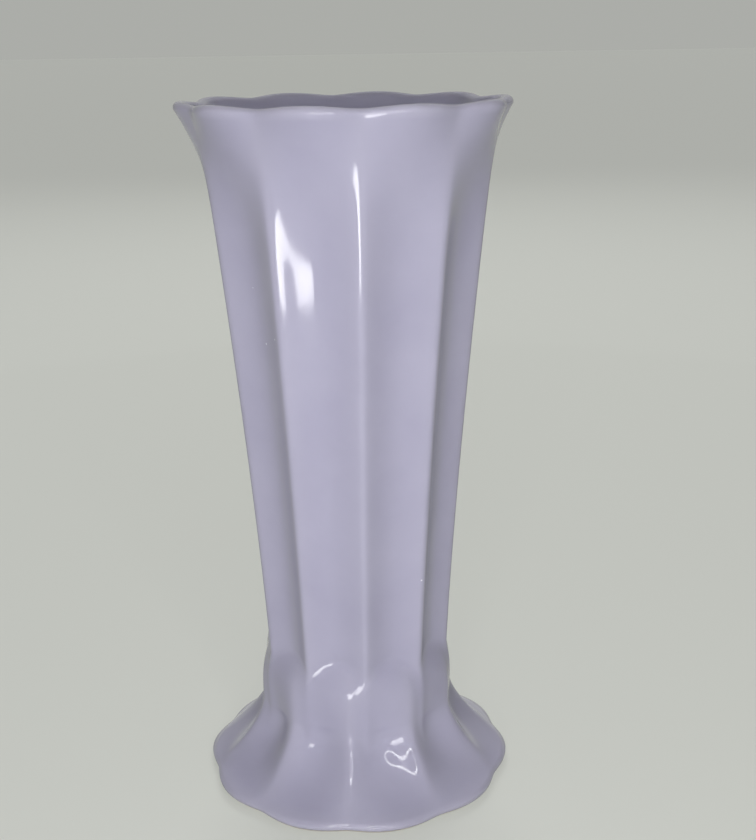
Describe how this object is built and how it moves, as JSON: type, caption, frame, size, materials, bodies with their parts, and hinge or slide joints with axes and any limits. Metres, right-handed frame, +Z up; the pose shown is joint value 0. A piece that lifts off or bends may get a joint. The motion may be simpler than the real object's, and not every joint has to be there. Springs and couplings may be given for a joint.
{
  "type": "trumpet vase",
  "caption": "Fluted glazed ceramic trumpet vase with a scalloped flaring rim, a tapering body and a lobed bell foot, for holding cut flowers in water.",
  "frame": {"origin": "centre of the foot on the surface that the vase stands on", "axes": "+Z up along the vase's axis to the rim, -Y towards the front that the picture shows, +X to that view's right"},
  "size_m": [0.1172, 0.1164, 0.254],
  "materials": {
    "bisque": "unglazed white earthenware",
    "slip": "fired clay slip",
    "glaze": "high-gloss lavender glaze",
    "lining": "high-gloss lavender glaze, poured inside"
  },
  "bodies": {
    "root": {"fluted_body": "bisque", "luting_slip": "slip", "pedestal_foot": "bisque", "body_glaze": "glaze", "foot_glaze": "glaze", "lining_glaze": "lining"}
  },
  "joints": []
}
